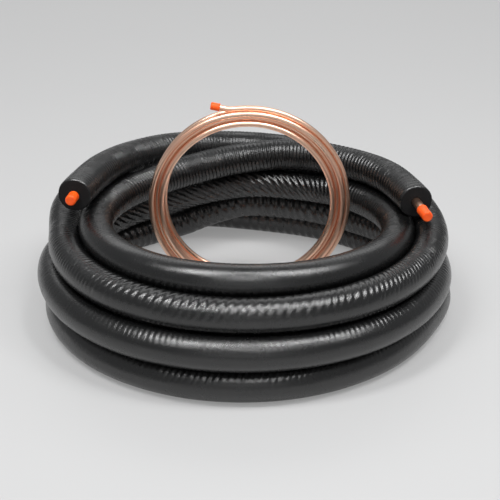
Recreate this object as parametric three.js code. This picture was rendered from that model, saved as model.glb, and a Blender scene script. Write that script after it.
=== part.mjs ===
// A pair of copper air-conditioning lines, as they are sold: an insulated suction line wound into
// a coil that lies flat, and a bare liquid line wound into a smaller coil that stands in its eye.
// Millimetres, +Z up, the floor at z = 0. The camera of the photograph looks along +Y.
import * as THREE from 'three';

// Suction line
const suctionTubeDiameter = 9.53;
const suctionTubeWall = 0.8;
const sleeveWall = 12.7;
const sleeveSlack = 0.5;         // air between the copper and the sleeve's bore, each side
const turnGap = 0.3;             // least distance between the surfaces of neighbouring turns
const leftStub = 15;             // copper past the sleeve's end, cap not counted
const rightStub = 40;

// Liquid line
const liquidTubeDiameter = 6.35;
const liquidTubeWall = 0.76;
const ringRadius = 111;          // centre line of the outermost turn
const ringTurnPitch = 5.4;       // radial step per turn: the tubes lie staggered in two rows
const ringTubeGap = 0.35;
const ringStartAngle = -10;      // degrees clockwise from the top, seen from the front
const ringTurnsInward = 4;       // times that the front layer passes the bottom
const ringTurnsOutward = 2.93;   // turns of the layer behind it
const ringCrossing = 40;         // degrees each side of the bottom where the turns change rows
const ringLead = 20;             // loose end at the upper left, bent up off the coil
const ringLeadRise = 12;         // degrees
const ringTailLift = 3.5;        // how far the hidden end bends back, so that its cap is clear
const ringTailTurn = 40;         // degrees over which it does so
const ringSideways = 2.5;
const ringBack = 28;             // how far the ring stands behind the coil's centre
const eyeRoom = 17.5;            // room between the ring's edge and the innermost turn

// Plastic caps
const capWall = 0.9;
const capEnd = 1.2;
const capFit = 0.3;              // play between a cap and its tube
const capBevel = 0.9;
const suctionCapLength = 20;
const leftCapLength = 14;
const liquidCapLength = 10;

// Fineness of the faceted surfaces
const degreesPerStep = 12;
const ringDegreesPerStep = 15;
const sleeveSides = 16;
const boreSides = 8;
const tubeSides = 8;
const tubeBoreSides = 6;
const capSides = 16;

const boreRadius = suctionTubeDiameter / 2 + sleeveSlack;
const sleeveRadius = boreRadius + sleeveWall;
const turnPitch = 2 * sleeveRadius + turnGap;
const floorHeight = sleeveRadius * Math.cos(Math.PI / sleeveSides);

// Route of the suction line. The angle starts at the left and runs over the back, right and
// front. Outward and upward are counted in turn pitches from the turn that lies on the floor.
const route = [
  { angle: -5, outward: -0.59, up: 3.39 },    // left end
  { angle: 6, outward: -0.79, up: 3.37 },
  { angle: 18, outward: -0.85, up: 3.34 },
  { angle: 33, outward: -0.76, up: 3.24 },
  { angle: 48, outward: -0.53, up: 3.08 },
  { angle: 62, outward: -0.30, up: 2.95 },
  { angle: 76, outward: -0.10, up: 2.78 },
  { angle: 90, outward: -0.02, up: 2.68 },    // outer top turn, at the back
  { angle: 112, outward: 0.04, up: 2.53 },
  { angle: 135, outward: 0.14, up: 2.33 },
  { angle: 158, outward: 0, up: 2.16 },
  { angle: 180, outward: -0.09, up: 2.06 },
  { angle: 225, outward: -0.20, up: 1.99 },
  { angle: 270, outward: -0.34, up: 1.95 },   // third turn up, at the front
  { angle: 315, outward: -0.28, up: 1.96 },
  { angle: 345, outward: -0.25, up: 2.01 },
  { angle: 360, outward: -0.22, up: 2.04 },
  { angle: 375, outward: 0.10, up: 2.14 },    // leaves the stack and drops outside it
  { angle: 390, outward: 0.48, up: 2.02 },
  { angle: 402, outward: 0.82, up: 1.60 },
  { angle: 414, outward: 0.99, up: 0.88 },
  { angle: 422, outward: 1.05, up: 0.36 },
  { angle: 428, outward: 1.03, up: 0.08 },
  { angle: 435, outward: 0.78, up: 0 },       // lies on the floor from here
  { angle: 442, outward: 0.53, up: 0 },
  { angle: 450, outward: 0.27, up: 0 },
  { angle: 462, outward: 0.07, up: 0 },
  { angle: 495, outward: 0, up: 0 },
  { angle: 540, outward: 0.13, up: 0 },
  { angle: 562, outward: -0.14, up: 0 },
  { angle: 585, outward: -0.18, up: 0 },
  { angle: 630, outward: -0.09, up: 0 },
  { angle: 675, outward: -0.06, up: 0 },
  { angle: 720, outward: -0.03, up: 0 },
  { angle: 750, outward: 0, up: 0 },
  { angle: 768, outward: 0.03, up: 0 },       // climbs onto itself
  { angle: 780, outward: 0.02, up: 0.02 },
  { angle: 788, outward: -0.07, up: 0.15 },
  { angle: 795, outward: -0.20, up: 0.40 },
  { angle: 802, outward: -0.35, up: 0.63 },
  { angle: 810, outward: -0.47, up: 0.82 },
  { angle: 832, outward: -0.55, up: 0.85 },
  { angle: 858, outward: -0.52, up: 0.89 },
  { angle: 900, outward: 0, up: 1.02 },
  { angle: 945, outward: 0.07, up: 1.03 },
  { angle: 990, outward: 0.09, up: 1.03 },    // second turn up, at the front
  { angle: 1035, outward: 0.13, up: 1.03 },
  { angle: 1080, outward: 0.11, up: 1.09 },
  { angle: 1095, outward: -0.03, up: 1.05 },
  { angle: 1110, outward: -0.19, up: 1.03 },
  { angle: 1128, outward: -0.22, up: 1.06 },
  { angle: 1140, outward: -0.33, up: 1.16 },
  { angle: 1155, outward: -0.66, up: 1.47 },
  { angle: 1170, outward: -1.00, up: 1.75 },
  { angle: 1192, outward: -1.08, up: 1.82 },
  { angle: 1215, outward: -1.10, up: 1.94 },
  { angle: 1260, outward: -1.09, up: 2.13 },
  { angle: 1305, outward: -1.20, up: 2.36 },
  { angle: 1350, outward: -1.22, up: 2.50 },  // inner top turn, at the front
  { angle: 1395, outward: -1.18, up: 2.47 },
  { angle: 1425, outward: -1.16, up: 2.46 },
  { angle: 1440, outward: -1.20, up: 2.45 },
  { angle: 1455, outward: -1.29, up: 2.41 },
  { angle: 1485, outward: -1.46, up: 2.35 },
  { angle: 1506, outward: -1.41, up: 2.44 },
  { angle: 1530, outward: -1.28, up: 2.74 },
  { angle: 1550, outward: -1.07, up: 2.88 },
  { angle: 1575, outward: -0.91, up: 2.93 },
  { angle: 1598, outward: -0.85, up: 3.04 },
  { angle: 1611, outward: -0.77, up: 3.05 },
  { angle: 1622, outward: -0.59, up: 3.05 },  // right end
];

const deepestInward = Math.max(...route.map((stop) => -stop.outward));
const ringReach = Math.hypot(ringRadius + liquidTubeDiameter / 2, ringBack);
const floorTurnRadius = ringReach + eyeRoom + sleeveRadius + deepestInward * turnPitch;

const radians = THREE.MathUtils.degToRad;

// Smooth curve through the route's stops, read at any angle.
function slopeAt(stops, i, key) {
  const before = stops[Math.max(i - 1, 0)];
  const after = stops[Math.min(i + 1, stops.length - 1)];
  return (after[key] - before[key]) / (after.angle - before.angle);
}

function readRoute(angle, key) {
  let i = 0;
  while (i < route.length - 2 && route[i + 1].angle < angle) i += 1;
  const from = route[i];
  const to = route[i + 1];
  const span = to.angle - from.angle;
  const t = (angle - from.angle) / span;
  const t2 = t * t;
  const t3 = t2 * t;
  return (2 * t3 - 3 * t2 + 1) * from[key] + (t3 - 2 * t2 + t) * span * slopeAt(route, i, key)
    + (3 * t2 - 2 * t3) * to[key] + (t3 - t2) * span * slopeAt(route, i + 1, key);
}

function routePoint(angle) {
  const radius = floorTurnRadius + readRoute(angle, 'outward') * turnPitch;
  const height = floorHeight + Math.max(readRoute(angle, 'up'), 0) * turnPitch;
  const turn = radians(angle);
  return new THREE.Vector3(-radius * Math.cos(turn), radius * Math.sin(turn), height);
}

function suctionPath() {
  const first = route[0].angle;
  const last = route[route.length - 1].angle;
  const steps = Math.round((last - first) / degreesPerStep);
  const points = [];
  for (let i = 0; i < steps; i += 1) points.push(routePoint(first + i * degreesPerStep));
  points.push(routePoint(last));
  return points;
}

// The point that lies straight on past the end of a path.
function straightOn(last, beforeLast, length) {
  return last.clone().sub(beforeLast).setLength(length).add(last);
}

// Path of the liquid line about the ring's own centre, in the XZ plane, front towards -Y. The
// front layer winds inward, changes to the layer behind at the bottom, and winds outward there.
function ringPath() {
  const turnToTurn = liquidTubeDiameter + ringTubeGap;
  const rowOffset = Math.sqrt(Math.max(turnToTurn ** 2 - ringTurnPitch ** 2, 0)) / 2;
  const layerStep = turnToTurn + 2 * rowOffset;
  const innerAngle = 180 + 360 * (ringTurnsInward - 1);
  const lastAngle = innerAngle + 360 * ringTurnsOutward;
  const turnsAt = (angle) => (Math.min(angle, 2 * innerAngle - angle) - ringStartAngle) / 360;
  const turnsAtBottom = (180 - ringStartAngle) / 360;
  const points = [];
  const steps = Math.round((lastAngle - ringStartAngle) / ringDegreesPerStep);
  for (let i = 0; i <= steps; i += 1) {
    const angle = ringStartAngle + i * ringDegreesPerStep;
    const crossing = Math.round((angle - 180) / 360);
    const along = THREE.MathUtils.clamp((angle - 180 - 360 * crossing) / ringCrossing, -1, 1);
    const opened = THREE.MathUtils.smoothstep(1 - Math.abs(along), 0, 1);
    const turns = turnsAt(angle);
    const radius = ringRadius - ringTurnPitch * turns
      - (turnToTurn - ringTurnPitch) * opened * (turns - turnsAtBottom);
    const row = (crossing % 2 === 0 ? -1 : 1) * Math.sin(along * Math.PI / 2);
    const change = THREE.MathUtils.clamp((angle - innerAngle) / ringCrossing, -1, 1);
    const layer = (1 + Math.sin(change * Math.PI / 2)) / 2;
    const tail = THREE.MathUtils.smoothstep(angle, lastAngle - ringTailTurn, lastAngle);
    points.push(new THREE.Vector3(
      radius * Math.sin(radians(angle)),
      row * rowOffset + layer * layerStep + tail * ringTailLift,
      radius * Math.cos(radians(angle)),
    ));
  }
  return points;
}

function circle(centre, side, up, radius, count) {
  const points = [];
  for (let i = 0; i < count; i += 1) {
    const turn = (i + 0.5) * 2 * Math.PI / count;
    points.push(centre.clone()
      .addScaledVector(side, radius * Math.cos(turn))
      .addScaledVector(up, radius * Math.sin(turn)));
  }
  return points;
}

// Closed tube wall along a line of points. "level" is the direction that the section stays
// square to, so that one flat of the outside always faces away from it.
function tubeGeometry(points, level, outerRadius, outerSides, innerRadius, innerSides) {
  const vertices = [];
  const faces = [];
  const outer = [];
  const inner = [];
  const put = (ring) => ring.map((p) => vertices.push(p.x, p.y, p.z) / 3 - 1);
  points.forEach((point, i) => {
    const before = points[Math.max(i - 1, 0)];
    const after = points[Math.min(i + 1, points.length - 1)];
    const ahead = after.clone().sub(before).normalize();
    const side = ahead.clone().cross(level).normalize();
    const up = side.clone().cross(ahead);
    outer.push(put(circle(point, side, up, outerRadius, outerSides)));
    inner.push(put(circle(point, side, up, innerRadius, innerSides)));
  });
  const wall = (rings, count, inward) => {
    for (let i = 0; i < rings.length - 1; i += 1) {
      for (let j = 0; j < count; j += 1) {
        const k = (j + 1) % count;
        const [a, b, c, d] = [rings[i][j], rings[i + 1][j], rings[i + 1][k], rings[i][k]];
        if (inward) faces.push(a, c, b, a, d, c);
        else faces.push(a, b, c, a, c, d);
      }
    }
  };
  wall(outer, outerSides, false);
  wall(inner, innerSides, true);
  const endFace = (out, into, first) => {
    let j = 0;
    let k = 0;
    while (j < outerSides || k < innerSides) {
      const a = out[j % outerSides];
      const c = into[k % innerSides];
      const outerNext = (j + 1) * innerSides <= (k + 1) * outerSides;
      const b = outerNext ? out[(j + 1) % outerSides] : into[(k + 1) % innerSides];
      if (first) faces.push(a, b, c);
      else faces.push(a, c, b);
      if (outerNext) j += 1;
      else k += 1;
    }
  };
  endFace(outer[0], inner[0], true);
  endFace(outer[outer.length - 1], inner[inner.length - 1], false);
  const geometry = new THREE.BufferGeometry();
  geometry.setAttribute('position', new THREE.Float32BufferAttribute(vertices, 3));
  geometry.setIndex(faces);
  geometry.computeVertexNormals();
  return geometry;
}

// Cap with its open mouth at z = 0 and its closed end at z = length.
function capGeometry(tubeDiameter, length) {
  const bore = (tubeDiameter / 2 + capFit) / Math.cos(Math.PI / capSides);
  const outside = bore + capWall;
  const profile = [
    [bore, length - capEnd], [bore, 0], [outside, 0],
    [outside, length - capBevel], [outside - capBevel, length],
  ];
  const vertices = [];
  const faces = [];
  profile.forEach(([radius, height]) => {
    for (let j = 0; j < capSides; j += 1) {
      const turn = (j + 0.5) * 2 * Math.PI / capSides;
      vertices.push(radius * Math.cos(turn), radius * Math.sin(turn), height);
    }
  });
  const bottom = vertices.push(0, 0, length - capEnd) / 3 - 1;
  const top = vertices.push(0, 0, length) / 3 - 1;
  for (let j = 0; j < capSides; j += 1) {
    const k = (j + 1) % capSides;
    faces.push(bottom, k, j);
    for (let i = 0; i < profile.length - 1; i += 1) {
      const low = i * capSides;
      const high = low + capSides;
      faces.push(low + j, high + k, high + j, low + j, low + k, high + k);
    }
    const rim = (profile.length - 1) * capSides;
    faces.push(top, rim + j, rim + k);
  }
  const geometry = new THREE.BufferGeometry();
  geometry.setAttribute('position', new THREE.Float32BufferAttribute(vertices, 3));
  geometry.setIndex(faces);
  geometry.computeVertexNormals();
  return geometry;
}

const foamLook = new THREE.MeshStandardMaterial({ color: 0x1d1e20, roughness: 0.55, metalness: 0 });
const copperLook = new THREE.MeshStandardMaterial({ color: 0xc98357, roughness: 0.28, metalness: 1 });
const capLook = new THREE.MeshStandardMaterial({ color: 0xff5a1c, roughness: 0.45, metalness: 0 });

function piece(name, geometry, look) {
  const mesh = new THREE.Mesh(geometry, look);
  mesh.name = name;
  return mesh;
}

// Puts a cap over the end of a tube: the path's last two points give its place and direction.
function capOn(name, tip, before, tubeDiameter, length) {
  const cap = piece(name, capGeometry(tubeDiameter, length), capLook);
  const ahead = tip.clone().sub(before).normalize();
  cap.quaternion.setFromUnitVectors(new THREE.Vector3(0, 0, 1), ahead);
  cap.position.copy(tip).addScaledVector(ahead, capEnd + capFit - length);
  return cap;
}

const up = new THREE.Vector3(0, 0, 1);
const back = new THREE.Vector3(0, 1, 0);

const sleevePath = suctionPath();
const copperPath = [
  straightOn(sleevePath[0], sleevePath[1], leftStub),
  ...sleevePath,
  straightOn(sleevePath.at(-1), sleevePath.at(-2), rightStub),
];
const suctionLine = new THREE.Group();
suctionLine.add(
  piece('insulation_sleeve',
    tubeGeometry(sleevePath, up, sleeveRadius, sleeveSides, boreRadius, boreSides), foamLook),
  piece('suction_tube',
    tubeGeometry(copperPath, up, suctionTubeDiameter / 2, tubeSides,
      suctionTubeDiameter / 2 - suctionTubeWall, tubeBoreSides), copperLook),
  capOn('suction_cap_left', copperPath[0], copperPath[1], suctionTubeDiameter, leftCapLength),
  capOn('suction_cap_right', copperPath.at(-1), copperPath.at(-2), suctionTubeDiameter,
    suctionCapLength),
);

const woundPath = ringPath();
const rise = radians(ringLeadRise);
const liquidPath = [
  woundPath[0].clone().add(new THREE.Vector3(-Math.cos(rise), 0, Math.sin(rise))
    .multiplyScalar(ringLead)),
  ...woundPath,
  straightOn(woundPath.at(-1), woundPath.at(-2), liquidCapLength),
];
const liquidGeometry = tubeGeometry(liquidPath, back, liquidTubeDiameter / 2, tubeSides,
  liquidTubeDiameter / 2 - liquidTubeWall, tubeBoreSides);
liquidGeometry.computeBoundingBox();
const liquidLine = new THREE.Group();
liquidLine.position.set(ringSideways, ringBack, -liquidGeometry.boundingBox.min.z);
liquidLine.add(
  piece('liquid_tube', liquidGeometry, copperLook),
  capOn('liquid_cap_upper', liquidPath[0], liquidPath[1], liquidTubeDiameter, liquidCapLength),
  capOn('liquid_cap_lower', liquidPath.at(-1), liquidPath.at(-2), liquidTubeDiameter,
    liquidCapLength),
);

const lineSet = new THREE.Group();
lineSet.name = 'line_set';
lineSet.add(suctionLine, liquidLine);

// The origin sits under the middle of the whole set.
const size = new THREE.Box3().setFromObject(lineSet);
lineSet.position.set(-(size.min.x + size.max.x) / 2, -(size.min.y + size.max.y) / 2, -size.min.z);

export default lineSet;
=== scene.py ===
import math
import bpy
import numpy as np
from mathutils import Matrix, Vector


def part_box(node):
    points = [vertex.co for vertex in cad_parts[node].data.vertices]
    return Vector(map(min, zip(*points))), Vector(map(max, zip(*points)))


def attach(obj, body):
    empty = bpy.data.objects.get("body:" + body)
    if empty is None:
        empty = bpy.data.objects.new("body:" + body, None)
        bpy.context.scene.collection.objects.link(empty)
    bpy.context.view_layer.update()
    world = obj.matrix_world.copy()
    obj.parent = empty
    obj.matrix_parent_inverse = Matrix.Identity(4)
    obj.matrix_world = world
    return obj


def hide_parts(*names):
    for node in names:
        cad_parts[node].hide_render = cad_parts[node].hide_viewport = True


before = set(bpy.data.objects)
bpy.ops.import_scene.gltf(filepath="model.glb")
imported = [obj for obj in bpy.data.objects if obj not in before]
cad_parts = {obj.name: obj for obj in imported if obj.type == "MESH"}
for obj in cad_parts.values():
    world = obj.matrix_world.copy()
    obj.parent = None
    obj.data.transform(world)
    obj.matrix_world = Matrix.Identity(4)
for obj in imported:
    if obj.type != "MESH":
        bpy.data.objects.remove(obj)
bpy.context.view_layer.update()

random = np.random.default_rng(11)
print("frame loaded")


# Small helpers for node materials
def newMaterial(name):
    material = bpy.data.materials.new(name)
    material.use_nodes = True
    tree = material.node_tree
    shader = tree.nodes["Principled BSDF"]
    return material, tree, shader


def addNode(tree, kind, **settings):
    node = tree.nodes.new(kind)
    for key, value in settings.items():
        setattr(node, key, value)
    return node


def mathNode(tree, operation, first, second=None):
    node = addNode(tree, "ShaderNodeMath", operation=operation)
    for socket, value in zip(node.inputs, (first, second)):
        if value is None:
            continue
        if isinstance(value, (int, float)):
            socket.default_value = value
        else:
            tree.links.new(value, socket)
    return node.outputs[0]


def placeAlongTube(tree):
    # metres along the tube, and the point on its section, so patterns follow the bends
    return addNode(tree, "ShaderNodeAttribute", attribute_name="tubePlace")


def stretched(tree, vector, scale):
    node = addNode(tree, "ShaderNodeVectorMath", operation="MULTIPLY")
    tree.links.new(vector, node.inputs[0])
    node.inputs[1].default_value = scale
    return node.outputs[0]


def noiseOf(tree, vector, scale, detail=3.0, roughness=0.5):
    node = addNode(tree, "ShaderNodeTexNoise")
    tree.links.new(vector, node.inputs["Vector"])
    node.inputs["Scale"].default_value = scale
    node.inputs["Detail"].default_value = detail
    node.inputs["Roughness"].default_value = roughness
    return node.outputs["Fac"]


def rampOf(tree, factor, stops):
    node = addNode(tree, "ShaderNodeValToRGB")
    tree.links.new(factor, node.inputs["Fac"])
    elements = node.color_ramp.elements
    while len(elements) < len(stops):
        elements.new(0.5)
    for element, (position, colour) in zip(elements, stops):
        element.position = position
        element.color = (*colour, 1) if len(colour) == 3 else colour
    return node.outputs["Color"]


def rangeOf(tree, value, fromLow, fromHigh, toLow, toHigh):
    node = addNode(tree, "ShaderNodeMapRange")
    tree.links.new(value, node.inputs["Value"])
    ends = {"From Min": fromLow, "From Max": fromHigh, "To Min": toLow, "To Max": toHigh}
    for name, number in ends.items():
        node.inputs[name].default_value = number
    return node.outputs["Result"]


def bumpInto(tree, shader, height):
    # height in metres
    bump = addNode(tree, "ShaderNodeBump")
    bump.inputs["Strength"].default_value = 1
    bump.inputs["Distance"].default_value = 1
    tree.links.new(height, bump.inputs["Height"])
    tree.links.new(bump.outputs["Normal"], shader.inputs["Normal"])


# Black closed-cell foam with a thin shiny skin, finely embossed and ribbed
foamSkin = {
    "dark": (0.0015, 0.0016, 0.0017),
    "light": (0.004, 0.0041, 0.0043),
    "roughLow": 0.22,
    "roughHigh": 0.30,
    "specular": 0.8,
    "embossPitch": 0.0021,    # metres along the sleeve
    "embossCount": 52,        # round the sleeve
    "embossDepth": 0.00004,
    "ribDepth": 0.0008,       # metres for each millimetre of fold
    "ribWander": 0.15,        # part of a rib
    "ribFaintest": 0.5,       # where the skin lies smoothest
    "grainDepth": 0.00006,
}


def makeFoamSkin():
    material, tree, shader = newMaterial("blackFoamSkin")
    place = placeAlongTube(tree)
    parts = addNode(tree, "ShaderNodeSeparateXYZ")
    tree.links.new(place.outputs["Vector"], parts.inputs[0])
    mottling = noiseOf(tree, place.outputs["Vector"], 60, 4, 0.55)
    grain = noiseOf(tree, place.outputs["Vector"], 1400, 2, 0.6)
    colour = rampOf(tree, mottling, [(0.3, foamSkin["dark"]), (0.75, foamSkin["light"])])
    tree.links.new(colour, shader.inputs["Base Color"])
    rough = rangeOf(tree, mottling, 0.35, 0.65, foamSkin["roughHigh"], foamSkin["roughLow"])
    tree.links.new(rough, shader.inputs["Roughness"])
    # embossed net
    netStep = 2 * math.pi / foamSkin["embossPitch"]
    along = mathNode(tree, "SINE", mathNode(tree, "MULTIPLY", parts.outputs["X"], netStep))
    turn = mathNode(tree, "ARCTAN2", parts.outputs["Z"], parts.outputs["Y"])
    around = mathNode(tree, "SINE", mathNode(tree, "MULTIPLY", turn, foamSkin["embossCount"]))
    emboss = mathNode(tree, "MULTIPLY", along, around)
    # gathered ribs, in step with the folds of the mesh: low in their valleys, high between them
    folding = addNode(tree, "ShaderNodeAttribute", attribute_name="folding")
    fold = addNode(tree, "ShaderNodeSeparateXYZ")
    tree.links.new(folding.outputs["Vector"], fold.inputs[0])
    wander = noiseOf(tree, stretched(tree, place.outputs["Vector"], (90, 60, 60)), 1.0, 3, 0.6)
    wander = mathNode(tree, "MULTIPLY", wander, foamSkin["ribWander"])
    cycle = mathNode(tree, "MULTIPLY", mathNode(tree, "ADD", fold.outputs["X"], wander), 2 * math.pi)
    ribs = mathNode(tree, "SINE", mathNode(tree, "SUBTRACT", cycle, math.pi / 2))
    patch = noiseOf(tree, stretched(tree, place.outputs["Vector"], (70, 110, 110)), 1.0, 2, 0.5)
    patch = rangeOf(tree, patch, 0.35, 0.62, foamSkin["ribFaintest"], 1.0)
    ribs = mathNode(tree, "MULTIPLY", mathNode(tree, "MULTIPLY", ribs, fold.outputs["Y"]), patch)
    height = mathNode(tree, "ADD",
                      mathNode(tree, "MULTIPLY", emboss, foamSkin["embossDepth"]),
                      mathNode(tree, "MULTIPLY", grain, foamSkin["grainDepth"]))
    height = mathNode(tree, "ADD", height, mathNode(tree, "MULTIPLY", ribs, foamSkin["ribDepth"]))
    bumpInto(tree, shader, height)
    shader.inputs["Specular IOR Level"].default_value = foamSkin["specular"]
    return material


# Cut foam: matte and pitted
cutFoam = {
    "dark": (0.003, 0.003, 0.0033),
    "light": (0.010, 0.010, 0.0105),
    "roughness": 0.85,
    "specular": 0.25,
    "cells": 900,             # to the metre
    "depth": 0.0002,
}


def makeCutFoam():
    material, tree, shader = newMaterial("cutFoam")
    place = addNode(tree, "ShaderNodeTexCoord")
    cells = addNode(tree, "ShaderNodeTexVoronoi")
    tree.links.new(place.outputs["Object"], cells.inputs["Vector"])
    cells.inputs["Scale"].default_value = cutFoam["cells"]
    colour = rampOf(tree, cells.outputs["Distance"], [(0.1, cutFoam["dark"]), (0.8, cutFoam["light"])])
    tree.links.new(colour, shader.inputs["Base Color"])
    shader.inputs["Roughness"].default_value = cutFoam["roughness"]
    shader.inputs["Specular IOR Level"].default_value = cutFoam["specular"]
    bumpInto(tree, shader, mathNode(tree, "MULTIPLY", cells.outputs["Distance"], cutFoam["depth"]))
    return material


# Bright drawn copper with faint lines along the tube and warmer, duller patches
brightCopper = {
    "pale": (1.0, 0.68, 0.51),
    "deep": (0.96, 0.54, 0.38),
    "roughLow": 0.25,
    "roughHigh": 0.37,
    "lineDepth": 0.000012,
}


def makeCopper():
    material, tree, shader = newMaterial("brightCopper")
    place = placeAlongTube(tree)
    patches = noiseOf(tree, stretched(tree, place.outputs["Vector"], (14, 120, 120)), 1.0, 3, 0.5)
    lines = noiseOf(tree, stretched(tree, place.outputs["Vector"], (8, 2600, 2600)), 1.0, 2, 0.6)
    colour = rampOf(tree, patches, [(0.3, brightCopper["deep"]), (0.62, brightCopper["pale"])])
    tree.links.new(colour, shader.inputs["Base Color"])
    rough = rangeOf(tree, patches, 0.3, 0.7, brightCopper["roughHigh"], brightCopper["roughLow"])
    tree.links.new(rough, shader.inputs["Roughness"])
    shader.inputs["Metallic"].default_value = 1.0
    bumpInto(tree, shader, mathNode(tree, "MULTIPLY", lines, brightCopper["lineDepth"]))
    return material


# Soft orange polythene
orangePlastic = {
    "light": (1.0, 0.125, 0.012),
    "dark": (0.90, 0.085, 0.007),
    "roughness": 0.38,
    "specular": 0.3,
    "glow": 0.12,             # how much light goes through the plastic, and how far
    "glowReach": (0.004, 0.0015, 0.0006),
    "grainDepth": 0.00002,
}


def makeOrangePlastic():
    material, tree, shader = newMaterial("orangePlastic")
    place = addNode(tree, "ShaderNodeTexCoord")
    cloud = noiseOf(tree, place.outputs["Object"], 160, 3, 0.5)
    grain = noiseOf(tree, place.outputs["Object"], 2600, 2, 0.5)
    colour = rampOf(tree, cloud, [(0.3, orangePlastic["dark"]), (0.7, orangePlastic["light"])])
    tree.links.new(colour, shader.inputs["Base Color"])
    shader.inputs["Roughness"].default_value = orangePlastic["roughness"]
    shader.inputs["Specular IOR Level"].default_value = orangePlastic["specular"]
    shader.inputs["Subsurface Weight"].default_value = orangePlastic["glow"]
    shader.inputs["Subsurface Radius"].default_value = orangePlastic["glowReach"]
    bumpInto(tree, shader, mathNode(tree, "MULTIPLY", grain, orangePlastic["grainDepth"]))
    return material


foamSkinMaterial = makeFoamSkin()
cutFoamMaterial = makeCutFoam()
copperMaterial = makeCopper()
orangeMaterial = makeOrangePlastic()
print("materials made")


# Mesh helpers. All lengths in millimetres until the mesh is stored in metres.
def unit(vectors):
    return vectors / np.linalg.norm(vectors, axis=-1, keepdims=True)


def lengthsAlong(points):
    return np.concatenate(([0.0], np.cumsum(np.linalg.norm(np.diff(points, axis=0), axis=1))))


def resample(points, places):
    lengths = lengthsAlong(points)
    return np.stack([np.interp(places, lengths, points[:, k]) for k in range(3)], axis=1)


def sectionAxes(points, level):
    # across and upward directions of the section at each point
    ahead = unit(np.gradient(points, axis=0))
    side = unit(np.cross(ahead, level))
    return side, np.cross(side, ahead)


def smoothStep(value, low, high):
    t = np.clip((value - low) / (high - low), 0, 1)
    return t * t * (3 - 2 * t)


def sectionPlaces(places, turn, radius):
    # length along and point on the section, for each vertex of a row of rings
    rows, sides = len(places), len(turn)
    across = np.repeat(np.cos(turn)[None, :] * radius, rows, 0)
    upward = np.repeat(np.sin(turn)[None, :] * radius, rows, 0)
    return np.stack((np.repeat(places[:, None], sides, 1), across, upward), axis=2)


def storeMesh(name, vertices, faces, materials, faceMaterials=None, place=None):
    mesh = bpy.data.meshes.new(name)
    mesh.from_pydata((np.asarray(vertices) * 0.001).tolist(), [], faces)
    for material in materials:
        mesh.materials.append(material)
    if faceMaterials is not None:
        mesh.polygons.foreach_set("material_index", np.asarray(faceMaterials, dtype=np.int32))
    mesh.polygons.foreach_set("use_smooth", np.full(len(mesh.polygons), True))
    if place is not None:
        attribute = mesh.attributes.new("tubePlace", "FLOAT_VECTOR", "POINT")
        attribute.data.foreach_set("vector", (np.asarray(place, dtype=np.float32) * 0.001).ravel())
    mesh.validate()
    mesh.update()
    thing = bpy.data.objects.new(name, mesh)
    bpy.context.collection.objects.link(thing)
    return thing


def ringsToFaces(rows, sides, closed):
    # rows of vertices laid one after another; closed joins the last row to the first
    i = np.arange(rows if closed else rows - 1)
    j = np.arange(sides)
    a = (i[:, None] * sides + j).ravel()
    b = (((i + 1) % rows)[:, None] * sides + j).ravel()
    nextJ = (j + 1) % sides
    c = (((i + 1) % rows)[:, None] * sides + nextJ).ravel()
    d = (i[:, None] * sides + nextJ).ravel()
    return np.stack((a, b, c, d), axis=1)


# The suction line's route: angle from the left over the back, then outward and upward in turn
# pitches from the turn on the floor. The stops at 270 and from 1455 to 1506 degrees lie up to 4 mm
# off those of the solid, so that no light shows between the turns there. Sizes are in mm.
suctionLine = {
    "tubeDiameter": 9.53,
    "tubeWall": 0.8,
    "tubeSides": 24,
    "tubeRings": 900,
    "sleeveWall": 12.7,
    "sleeveSlack": 0.5,
    "turnGap": 0.3,
    "leftStub": 15,
    "rightStub": 40,
    "floorTurnRadius": 205.94,
    "pressed": 0.42,          # how much fuller the skin is drawn, so that turns press together
    "route": [
        (-5, -0.59, 3.39), (6, -0.79, 3.37), (18, -0.85, 3.34), (33, -0.76, 3.24),
        (48, -0.53, 3.08), (62, -0.30, 2.95), (76, -0.10, 2.78), (90, -0.02, 2.68),
        (112, 0.04, 2.53), (135, 0.14, 2.33), (158, 0, 2.16), (180, -0.09, 2.06),
        (225, -0.20, 1.99), (270, -0.34, 1.93), (315, -0.28, 1.96), (345, -0.25, 2.01),
        (360, -0.22, 2.04), (375, 0.10, 2.14), (390, 0.48, 2.02), (402, 0.82, 1.60),
        (414, 0.99, 0.88), (422, 1.05, 0.36), (428, 1.03, 0.08), (435, 0.78, 0),
        (442, 0.53, 0), (450, 0.27, 0), (462, 0.07, 0), (495, 0, 0),
        (540, 0.13, 0), (562, -0.14, 0), (585, -0.18, 0), (630, -0.09, 0),
        (675, -0.06, 0), (720, -0.03, 0), (750, 0, 0), (768, 0.03, 0),
        (780, 0.02, 0.02), (788, -0.07, 0.15), (795, -0.20, 0.40), (802, -0.35, 0.63),
        (810, -0.47, 0.82), (832, -0.55, 0.85), (858, -0.52, 0.89), (900, 0, 1.02),
        (945, 0.07, 1.03), (990, 0.09, 1.03), (1035, 0.13, 1.03), (1080, 0.11, 1.09),
        (1095, -0.03, 1.05), (1110, -0.19, 1.03), (1128, -0.22, 1.06), (1140, -0.33, 1.16),
        (1155, -0.66, 1.47), (1170, -1.00, 1.75), (1192, -1.08, 1.82), (1215, -1.10, 1.94),
        (1260, -1.09, 2.13), (1305, -1.20, 2.36), (1350, -1.22, 2.50), (1395, -1.18, 2.47),
        (1425, -1.16, 2.46), (1440, -1.20, 2.45), (1455, -1.27, 2.44), (1485, -1.38, 2.43),
        (1506, -1.35, 2.51), (1530, -1.28, 2.74), (1550, -1.07, 2.88), (1575, -0.91, 2.93),
        (1598, -0.85, 3.04), (1611, -0.77, 3.05), (1622, -0.59, 3.05),
    ],
}

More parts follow.
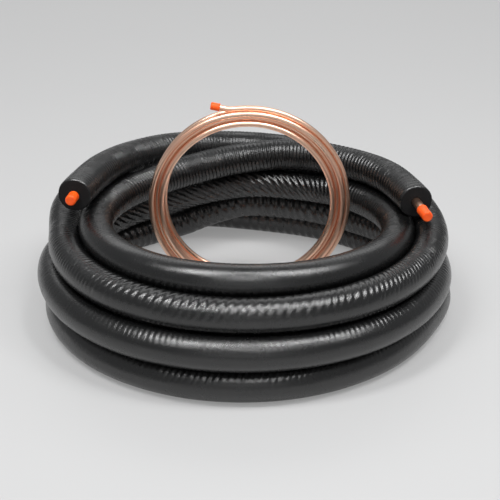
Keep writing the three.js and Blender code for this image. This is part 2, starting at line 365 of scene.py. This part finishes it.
boreRadius = suctionLine["tubeDiameter"] / 2 + suctionLine["sleeveSlack"]
sleeveRadius = boreRadius + suctionLine["sleeveWall"]
turnPitch = 2 * sleeveRadius + suctionLine["turnGap"]
skinRadius = sleeveRadius + suctionLine["pressed"]
floorHeight = sleeveRadius * math.cos(math.pi / 16)


def readRoute(angles, column):
    stops = np.array(suctionLine["route"], dtype=float)
    at, value = stops[:, 0], stops[:, column]
    before = np.maximum(np.arange(len(at)) - 1, 0)
    after = np.minimum(np.arange(len(at)) + 1, len(at) - 1)
    slope = (value[after] - value[before]) / (at[after] - at[before])
    i = np.clip(np.searchsorted(at, angles, side="right") - 1, 0, len(at) - 2)
    span = at[i + 1] - at[i]
    t = (angles - at[i]) / span
    return ((2 * t**3 - 3 * t**2 + 1) * value[i] + (t**3 - 2 * t**2 + t) * span * slope[i]
            + (3 * t**2 - 2 * t**3) * value[i + 1] + (t**3 - t**2) * span * slope[i + 1])


def routePoints(angles):
    radius = suctionLine["floorTurnRadius"] + readRoute(angles, 1) * turnPitch
    height = floorHeight + np.maximum(readRoute(angles, 2), 0) * turnPitch
    turn = np.radians(angles)
    return np.stack((-radius * np.cos(turn), radius * np.sin(turn), height), axis=1)


def suctionCentreLine():
    firstAngle, lastAngle = suctionLine["route"][0][0], suctionLine["route"][-1][0]
    angles = np.arange(firstAngle, lastAngle + 0.01, 0.25)
    points = routePoints(angles)
    # the smooth sleeve is fitted to the box of the CAD sleeve, whose turns are faceted
    low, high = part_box("insulation_sleeve")
    for axis in range(3):
        first, last = low[axis] * 1000 + skinRadius, high[axis] * 1000 - skinRadius
        if axis == 2:
            first = floorHeight
        ends = (points[:, axis].min(), points[:, axis].max())
        points[:, axis] = np.interp(points[:, axis], ends, (first, last))
    return angles, points


routeAngles, routeLine = suctionCentreLine()
coilMiddle = (routeLine - routePoints(routeAngles))[:, :2].mean(axis=0) * 0.001
up = np.array([0.0, 0.0, 1.0])
back = np.array([0.0, 1.0, 0.0])
print("suction line is %.2f m long" % (lengthsAlong(routeLine)[-1] / 1000))


# Camera: 25 degrees above the floor, square on to the coil, as in the photograph
view = {
    "elevation": 25.2,
    "distance": 1.4,
    "focalLength": 91.44,     # mm on a 36 mm wide frame
    "middle": (0, 0, 0.060),
    "lookAt": (0.0044, 0.0030, 0.0665),
}


def makeCamera():
    rise = math.radians(view["elevation"])
    offset = Vector((*coilMiddle, 0))
    camera = bpy.data.objects.new("camera", bpy.data.cameras.new("camera"))
    camera.data.lens = view["focalLength"]
    camera.data.sensor_width = 36
    outwards = Vector((0, -math.cos(rise), math.sin(rise))) * view["distance"]
    camera.location = offset + Vector(view["middle"]) + outwards
    aim = offset + Vector(view["lookAt"]) - camera.location
    camera.rotation_euler = aim.to_track_quat("-Z", "Y").to_euler()
    bpy.context.collection.objects.link(camera)
    bpy.context.scene.camera = camera


makeCamera()
print("camera placed")

# How the skin folds along the route. Each stop: angle; spacing and depth of the folds in mm; how
# far they lean, in mm along for each mm round; and between which heights on the section they
# lie, in degrees from the outer side (0) over the top (90) to the inner side (180).
sleeveLook = {
    "sides": 34,
    "folds": [
        (-5, 4.8, 0.15, 0.0, 40, 200), (15, 4.6, 0.44, 0.1, 20, 200), (60, 4.3, 0.62, 0.1, 20, 210),
        (130, 4.2, 0.62, 0.0, 30, 210), (170, 4.4, 0.50, 0.0, 20, 210), (220, 4.8, 0.50, -0.3, 15, 200),
        (235, 7.6, 0.45, -0.35, 10, 190), (272, 8.8, 0.42, -0.35, 2, 190), (290, 8.6, 0.45, -0.35, 0, 190),
        (318, 7.2, 0.45, -0.3, 0, 190), (330, 5.0, 0.40, 0.1, 15, 200), (370, 4.6, 0.40, 0.0, 20, 200),
        (400, 7.0, 0.60, 0.0, 60, 220), (430, 11.0, 1.87, 0.0, 110, 225), (480, 10.5, 1.95, 0.1, 115, 225),
        (515, 8.0, 1.02, 0.2, 60, 220), (560, 6.0, 0.35, 0.0, 30, 200), (600, 5.2, 0.35, -0.2, 30, 160),
        (655, 6.4, 0.55, -0.35, 20, 160), (680, 6.0, 0.15, -0.2, 30, 180), (720, 7.0, 0.50, 0.0, 90, 220),
        (745, 10.0, 1.87, 0.1, 110, 225), (800, 10.5, 2.04, 0.1, 112, 225), (850, 10.5, 2.04, 0.3, 110, 225),
        (880, 7.0, 0.50, 0.1, 40, 210), (925, 5.2, 0.22, 0.0, 30, 200), (1060, 6.0, 0.18, 0.0, 30, 200),
        (1095, 9.0, 1.53, 0.5, 95, 220), (1130, 10.0, 1.87, 1.5, 95, 225), (1190, 11.5, 2.21, 1.2, 95, 225),
        (1213, 6.0, 0.45, 0.2, 60, 220), (1240, 4.2, 0.36, 0.0, 40, 220), (1275, 4.2, 0.30, 0.0, 40, 220),
        (1300, 4.6, 0.06, 0.0, 40, 200), (1405, 4.6, 0.06, 0.0, 40, 200), (1435, 4.5, 0.47, 0.05, 30, 210),
        (1470, 4.6, 0.69, 0.1, 30, 215), (1530, 4.8, 0.75, 0.1, 30, 215), (1560, 5.2, 0.69, 0.05, 25, 210),
        (1600, 6.2, 0.69, 0.1, 20, 200), (1622, 6.0, 0.25, 0.0, 20, 200),
    ],
    # lengthwise creases: first and last angle, height on the section, depth and width in mm
    "creases": [
        (600, 700, 22, 0.55, 1.6), (955, 1040, 14, 0.30, 2.0), (1040, 1075, 34, 0.35, 2.2),
        (1290, 1400, 30, 0.40, 1.4), (1300, 1345, 66, 0.30, 1.6), (1365, 1420, 70, 0.35, 1.8),
        (205, 255, 26, 0.35, 2.0), (925, 1050, 40, 0.50, 2.6), (970, 1070, 60, 0.30, 2.2),
        (1295, 1360, 48, 0.35, 2.4), (610, 690, 44, 0.40, 2.2), (240, 330, 8, 0.35, 2.2),
    ],
    "deepFold": 0.95,      # mm; deeper folds are narrow between puffed bands, others are even ribs
    "fullRib": 0.7,        # mm of fold at which the skin's ribs are deepest
    "fade": (38, 30),      # degrees over which the folds start and end round the section
    "foldShift": 14,       # degrees that one fold starts and ends higher or lower than the next
    "spacingWander": 0.25, # how far the folds drift, as a part of their spacing, and over how many mm
    "spacingDrift": 23,
    "wander": 0.12,        # mm of slow unevenness
    "edgeRound": 0.9,
    "plainBelow": 0.2,     # mm; where the folds are fainter, the mesh needs no closer rings
    "plainStep": 3.8,      # mm between the rings of the mesh there
    "foldStep": (1.6, 2.6),
    "ringsPerFold": 3.1,
    "boreRings": 160,
}


def smoothRandom(places, spacing, count=1):
    # even random values joined by smooth curves, one row of them for each of count
    last = int(places.max() / spacing) + 3
    knots = random.uniform(-1, 1, (count, last + 1))
    at = places / spacing
    i = np.floor(at).astype(int)
    t = at - i
    t = t * t * (3 - 2 * t)
    return knots[:, i] * (1 - t) + knots[:, i + 1] * t


def foldDepth(table, angles, cycles, height, arc):
    # depth of the folds at each point; every fold has its own strength and reach
    columns = (np.interp(angles, table[:, 0], table[:, k])[:, None] for k in range(1, 6))
    spacing, depth, lean, low, high = columns
    phase = cycles[:, None] + lean * arc[None, :] / spacing
    fold = np.floor(phase).astype(int)
    fold = fold - fold.min()
    strong = random.uniform(0.55, 1.25, fold.max() + 2)[fold]
    most = sleeveLook["foldShift"]
    shift = random.uniform(-most, most, fold.max() + 2)[fold]
    within = phase - np.floor(phase)
    narrow = 1 - np.sin(math.pi * within)**0.85
    even = 0.5 + 0.5 * np.cos(2 * math.pi * within)
    valley = np.where(depth > sleeveLook["deepFold"], narrow, even)
    fadeIn, fadeOut = sleeveLook["fade"]
    start = smoothStep(height[None, :], low + shift, low + shift + fadeIn)
    end = smoothStep(height[None, :], high + shift, high + fadeOut)
    ridge = start * (1 - end)
    return depth * ridge * strong * valley, phase, np.minimum(depth, sleeveLook["fullRib"]) * ridge


def creaseDepth(angles, height):
    total = np.zeros((len(angles), len(height)))
    for first, last, place, depth, width in sleeveLook["creases"]:
        fade = smoothStep(angles, first, first + 14) * (1 - smoothStep(angles, last - 14, last))
        wave = place + 5 * np.sin(angles / 9 + first) + 3 * np.sin(angles / 3.7)
        away = (height[None, :] - wave[:, None]) * math.pi / 180 * sleeveRadius / width
        total += depth * fade[:, None] * np.exp(-away**2)
    return total


def makeSleeve():
    lengths = lengthsAlong(routeLine)
    table = np.array(sleeveLook["folds"], dtype=float)
    spacingAt = np.interp(routeAngles, table[:, 0], table[:, 1])
    depthAt = np.interp(routeAngles, table[:, 0], table[:, 2])
    # closer rows where the folds are close together
    foldStep = np.clip(spacingAt / sleeveLook["ringsPerFold"], *sleeveLook["foldStep"])
    step = np.where(depthAt < sleeveLook["plainBelow"], sleeveLook["plainStep"], foldStep)
    count = np.concatenate(([0], np.cumsum(np.diff(lengths) / step[1:])))
    rows = int(count[-1])
    places = np.interp(np.linspace(0, count[-1], rows), count, lengths)
    points = resample(routeLine, places)
    angles = np.interp(places, lengths, routeAngles)
    side, over = sectionAxes(points, up)
    sides = sleeveLook["sides"]
    turn = (np.arange(sides) + 0.5) * 2 * math.pi / sides
    height = (180 - np.degrees(turn)) % 360
    height = np.where(height > 270, height - 360, height)
    arc = (turn - math.pi / 2) * sleeveRadius
    arc = np.where(turn > 1.5 * math.pi, arc - 2 * math.pi * sleeveRadius, arc)
    cycles = np.interp(places, lengths, np.concatenate(([0], np.cumsum(np.diff(lengths) / spacingAt[1:]))))
    cycles = cycles + sleeveLook["spacingWander"] * smoothRandom(places, sleeveLook["spacingDrift"])[0]
    folds, phase, folded = foldDepth(table, angles, cycles, height, arc)
    radius = skinRadius - folds - creaseDepth(angles, height)
    # slow unevenness, always inwards
    uneven = np.zeros((rows, sides))
    for waves in range(5):
        a, b = smoothRandom(places, 60 - waves * 10, 2)
        uneven += a[:, None] * np.cos(waves * turn)[None, :] + b[:, None] * np.sin(waves * turn)[None, :]
    radius = radius - sleeveLook["wander"] * (1 + np.tanh(uneven * 0.6))
    # rounded edge at both cut ends
    fromEnd = np.minimum(places, places[-1] - places)
    edge = sleeveLook["edgeRound"]
    radius = radius - edge * (1 - np.sqrt(np.clip(1 - (1 - np.clip(fromEnd / edge, 0, 1))**2, 0, 1)))[:, None]
    skin = points[:, None, :] + radius[:, :, None] * (
        np.cos(turn)[None, :, None] * side[:, None, :] + np.sin(turn)[None, :, None] * over[:, None, :])
    skin[:, :, 2] = np.maximum(skin[:, :, 2], 0.02)     # flat where it lies on the floor
    place = sectionPlaces(places, turn, sleeveRadius)
    fold = np.stack((phase, folded, phase * 0), axis=2)
    return places, points, side, over, turn, skin, place, fold


def closeSleeve():
    places, points, side, over, turn, skin, place, fold = makeSleeve()
    rows, sides = skin.shape[:2]
    lastLength = places[-1]

    def section(at, radius):
        # a plain ring of the same sides, for the end faces and the bore
        near = int(np.clip(np.searchsorted(places, at), 0, rows - 1))
        around = np.cos(turn)[:, None] * side[near] + np.sin(turn)[:, None] * over[near]
        spot = np.stack((np.full(sides, at), np.cos(turn) * radius, np.sin(turn) * radius), axis=1)
        return points[near] + radius * around, spot

    rings = [skin[i] for i in range(rows)]
    spots = [place[i] for i in range(rows)]
    plain = np.zeros((sides, 3))
    foldings = [fold[i] for i in range(rows)]
    kinds = [0] * rows
    faceRadii = [skinRadius - 2.5, skinRadius - 6.5, boreRadius + 1.5, boreRadius + 0.4]
    inside = [(lastLength, radius) for radius in faceRadii]
    inside += [(at, boreRadius) for at in np.linspace(lastLength, 0, sleeveLook["boreRings"])]
    inside += [(0, radius) for radius in reversed(faceRadii)]
    for at, radius in inside:
        ring, spot = section(at, radius)
        rings.append(ring)
        spots.append(spot)
        foldings.append(plain)
        kinds.append(1)
    faces = ringsToFaces(len(rings), sides, True)
    faceKinds = np.repeat(np.maximum(np.array(kinds), np.roll(kinds, -1)), sides)
    faceKinds = np.where(np.repeat(np.arange(len(rings)), sides) == len(rings) - 1, 1, faceKinds)
    sleeve = storeMesh("insulationSleeve", np.concatenate(rings), faces.tolist(),
                       [foamSkinMaterial, cutFoamMaterial], faceKinds, np.concatenate(spots))
    attribute = sleeve.data.attributes.new("folding", "FLOAT_VECTOR", "POINT")
    attribute.data.foreach_set("vector", np.concatenate(foldings).astype(np.float32).ravel())
    print("sleeve has %d faces" % len(faces))
    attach(sleeve, "root")
    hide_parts("insulation_sleeve")


closeSleeve()
print("sleeve made")


def tubePiece(name, points, level, radius, wall, sides, replaced):
    # an open-ended round tube with a real wall
    side, over = sectionAxes(points, level)
    turn = (np.arange(sides) + 0.5) * 2 * math.pi / sides
    places = lengthsAlong(points)

    def skin(r):
        return points[:, None, :] + r * (np.cos(turn)[None, :, None] * side[:, None, :]
                                         + np.sin(turn)[None, :, None] * over[:, None, :])

    rings = np.concatenate((skin(radius), skin(radius - wall)[::-1]))
    outer, inner = sectionPlaces(places, turn, radius), sectionPlaces(places, turn, radius - wall)
    place = np.concatenate((outer, inner[::-1]))
    faces = ringsToFaces(len(rings), sides, True)
    piece = storeMesh(name, rings.reshape(-1, 3), faces.tolist(), [copperMaterial],
                      place=place.reshape(-1, 3))
    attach(piece, "root")
    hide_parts(replaced)


def straightOn(last, beforeLast, length):
    return last + unit(last - beforeLast) * length


def makeSuctionTube():
    steps = 8
    line = resample(routeLine, np.linspace(0, lengthsAlong(routeLine)[-1], suctionLine["tubeRings"]))
    left, right = suctionLine["leftStub"], suctionLine["rightStub"]
    first = [straightOn(line[0], line[1], left * (steps - k) / steps) for k in range(steps)]
    last = [straightOn(line[-1], line[-2], right * (k + 1) / steps) for k in range(steps)]
    path = np.concatenate((first, line, last))
    tubePiece("suctionTube", path, up, suctionLine["tubeDiameter"] / 2, suctionLine["tubeWall"],
              suctionLine["tubeSides"], "suction_tube")
    return path


suctionPath = makeSuctionTube()
print("suction tube made")


# The bare line, in mm and degrees. Its angle runs from the top of the coil to the right.
liquidLine = {
    "tubeDiameter": 6.35,
    "tubeWall": 0.76,
    "ringRadius": 111,
    "turnPitch": 5.4,
    "tubeGap": 0.35,
    "startAngle": -10,
    "turnsInward": 4,
    "turnsOutward": 2.93,
    "crossing": 40,
    "lead": 20,
    "leadRise": 12,
    "tailLift": 3.5,
    "tailTurn": 40,
    "capLength": 10,
    "topRoom": 0.3,
    "degreesPerStep": 2.5,
    "sides": 20,
}


def ringLine():
    look = liquidLine
    turnToTurn = look["tubeDiameter"] + look["tubeGap"]
    rowOffset = math.sqrt(max(turnToTurn**2 - look["turnPitch"]**2, 0)) / 2
    layerStep = turnToTurn + 2 * rowOffset
    innerAngle = 180 + 360 * (look["turnsInward"] - 1)
    lastAngle = innerAngle + 360 * look["turnsOutward"]
    angle = np.arange(look["startAngle"], lastAngle + 0.01, look["degreesPerStep"])
    crossing = np.round((angle - 180) / 360)
    along = np.clip((angle - 180 - 360 * crossing) / look["crossing"], -1, 1)
    opened = smoothStep(1 - np.abs(along), 0, 1)
    turns = (np.minimum(angle, 2 * innerAngle - angle) - look["startAngle"]) / 360
    atBottom = (180 - look["startAngle"]) / 360
    radius = (look["ringRadius"] - look["turnPitch"] * turns
              - (turnToTurn - look["turnPitch"]) * opened * (turns - atBottom))
    row = np.where(crossing % 2 == 0, -1, 1) * np.sin(along * math.pi / 2)
    change = np.clip((angle - innerAngle) / look["crossing"], -1, 1)
    layer = (1 + np.sin(change * math.pi / 2)) / 2
    tail = smoothStep(angle, lastAngle - look["tailTurn"], lastAngle)
    turn = np.radians(angle)
    points = np.stack((radius * np.sin(turn), row * rowOffset + layer * layerStep + tail * look["tailLift"],
                       radius * np.cos(turn)), axis=1)
    rise = math.radians(look["leadRise"])
    steps = 8
    lead = [points[0] + np.array([-math.cos(rise), 0, math.sin(rise)]) * look["lead"] * (steps - k) / steps
            for k in range(steps)]
    tailEnd = [straightOn(points[-1], points[-2], look["capLength"] * (k + 1) / steps) for k in range(steps)]
    path = np.concatenate((lead, points, tailEnd))
    # takes the corner off where the loose end leaves the coil
    for _ in range(2):
        path[4:14] = (path[3:13] + 2 * path[4:14] + path[5:15]) / 4
    # onto the floor, and centred where the CAD tube is
    low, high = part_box("liquid_tube")
    for axis in (0, 1):
        path[:, axis] += (low[axis] + high[axis]) * 500 - (path[:, axis].min() + path[:, axis].max()) / 2
    radius = look["tubeDiameter"] / 2
    top = high[2] * 1000 - radius - look["topRoom"]
    path[:, 2] = np.interp(path[:, 2], (path[:, 2].min(), path[:, 2].max()), (radius, top))
    return path


liquidPath = ringLine()
tubePiece("liquidTube", liquidPath, back, liquidLine["tubeDiameter"] / 2, liquidLine["tubeWall"],
          liquidLine["sides"], "liquid_tube")
print("liquid tube made, %.2f m" % (lengthsAlong(liquidPath)[-1] / 1000))


capLook = {
    "wall": 0.9,
    "end": 1.2,
    "fit": 0.3,
    "rimStep": 0.22,       # how far the body lies inside the rim
    "sides": 40,
    "suctionLength": 20,
    "leftLength": 14,
    "liquidLength": 10,
}


def makeCap(name, tip, before, tubeDiameter, length, replaced):
    bore = tubeDiameter / 2 + capLook["fit"]
    outside = bore + capLook["wall"]
    end = length - capLook["end"]
    corner = min(1.6, outside * 0.3)
    body = outside - capLook["rimStep"]
    profile = [(bore * 0.55, end), (bore, end), (bore, 0.35), (bore + 0.3, 0),
               (outside - 0.2, 0), (outside, 0.3), (outside, 1.1), (body, 1.5), (body, length * 0.55)]
    for k in range(7):
        bend = math.radians(k * 15)
        profile.append((body - corner + corner * math.cos(bend), length - corner + corner * math.sin(bend)))
    profile.append((outside * 0.35, length - 0.12))
    sides = capLook["sides"]
    turn = np.arange(sides) * 2 * math.pi / sides
    ahead = unit(tip - before)
    side = unit(np.cross(ahead, up if abs(ahead[2]) < 0.9 else back))
    over = np.cross(side, ahead)
    mouth = tip + ahead * (capLook["end"] + capLook["fit"] - length)
    vertices = []
    around = np.cos(turn)[:, None] * side + np.sin(turn)[:, None] * over
    for radius, height in profile:
        vertices.append(mouth + ahead * height + radius * around)
    vertices = np.concatenate(vertices)
    faces = ringsToFaces(len(profile), sides, False).tolist()
    innerCentre = len(vertices)
    vertices = np.concatenate((vertices, [mouth + ahead * end], [mouth + ahead * (length - 0.3)]))
    top = (len(profile) - 1) * sides
    for j in range(sides):
        k = (j + 1) % sides
        faces.append([innerCentre, j, k])
        faces.append([innerCentre + 1, top + k, top + j])
    cap = storeMesh(name, vertices, faces, [orangeMaterial])
    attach(cap, "root")
    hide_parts(replaced)


suctionDiameter, liquidDiameter = suctionLine["tubeDiameter"], liquidLine["tubeDiameter"]
makeCap("suctionCapLeft", suctionPath[0], suctionPath[1], suctionDiameter, capLook["leftLength"],
        "suction_cap_left")
makeCap("suctionCapRight", suctionPath[-1], suctionPath[-2], suctionDiameter, capLook["suctionLength"],
        "suction_cap_right")
makeCap("liquidCapUpper", liquidPath[0], liquidPath[1], liquidDiameter, capLook["liquidLength"],
        "liquid_cap_upper")
makeCap("liquidCapLower", liquidPath[-1], liquidPath[-2], liquidDiameter, capLook["liquidLength"],
        "liquid_cap_lower")
print("caps made")


# Pale studio floor and soft lights
studio = {
    "floorColour": (0.32, 0.32, 0.321),
    "floorPaintedLight": 0.24,         # painted light: the white floor glows though it is no lamp, which keeps the shadows pale
    "floorMottling": 0.985,
    "floorRoughness": 0.6,
    "floorSize": 14,
    "worldColour": (0.80, 0.81, 0.82),
    "worldStrength": 0.36,
    "lights": [
        # name, place, aim, width, depth, watts
        ("leftTop", (-0.80, -0.62, 1.70), (0, -0.1, 0.05), 0.42, 0.50, 9),
        ("rightTop", (0.98, -0.42, 1.62), (0, -0.1, 0.05), 0.42, 0.50, 9),
        ("overLeft", (-0.46, -0.52, 1.88), (0, 0, 0.05), 0.34, 0.50, 12),
        ("overRight", (0.52, -0.50, 1.88), (0, 0, 0.05), 0.34, 0.50, 13),
        ("front", (0.05, -1.50, 1.90), (0, 0, 0.05), 1.00, 0.22, 9),
        ("frontCard", (0, -2.9, 1.05), (0, 0, 0.1), 2.4, 0.9, 4),
        ("background", (0, 2.8, 2.4), (0, 2.8, 0), 4.0, 1.8, 42),
    ],
}


def makeStudio():
    floorMesh = bpy.data.meshes.new("floor")
    half = studio["floorSize"] / 2
    corners = [(-half, -half, 0), (half, -half, 0), (half, half, 0), (-half, half, 0)]
    floorMesh.from_pydata(corners, [], [(0, 1, 2, 3)])
    material, tree, shader = newMaterial("paleFloor")
    place = addNode(tree, "ShaderNodeTexCoord")
    cloud = noiseOf(tree, place.outputs["Object"], 2.0, 2, 0.5)
    low = tuple(studio["floorMottling"] * part for part in studio["floorColour"])
    colour = rampOf(tree, cloud, [(0.3, low), (0.7, studio["floorColour"])])
    tree.links.new(colour, shader.inputs["Base Color"])
    shader.inputs["Roughness"].default_value = studio["floorRoughness"]
    floorMesh.materials.append(material)
    # painted light: the floor itself glows, though it is no lamp, and so lifts the shade under and around the
    # coil
    shader.inputs["Emission Color"].default_value = (1, 1, 1, 1)
    shader.inputs["Emission Strength"].default_value = studio["floorPaintedLight"]
    floor = bpy.data.objects.new("floor", floorMesh)
    bpy.context.collection.objects.link(floor)
    world = bpy.data.worlds.new("studio")
    bpy.context.scene.world = world
    world.use_nodes = True
    background = world.node_tree.nodes["Background"]
    background.inputs["Color"].default_value = (*studio["worldColour"], 1)
    background.inputs["Strength"].default_value = studio["worldStrength"]
    for name, place, aim, width, depth, watts in studio["lights"]:
        lamp = bpy.data.lights.new(name, "AREA")
        lamp.shape = "RECTANGLE"
        lamp.size, lamp.size_y = width, depth
        lamp.energy = watts
        light = bpy.data.objects.new(name, lamp)
        light.location = place
        light.rotation_euler = (Vector(aim) - Vector(place)).to_track_quat("-Z", "Y").to_euler()
        bpy.context.collection.objects.link(light)
    bpy.context.scene.view_settings.view_transform = "Standard"


makeStudio()
print("studio set")
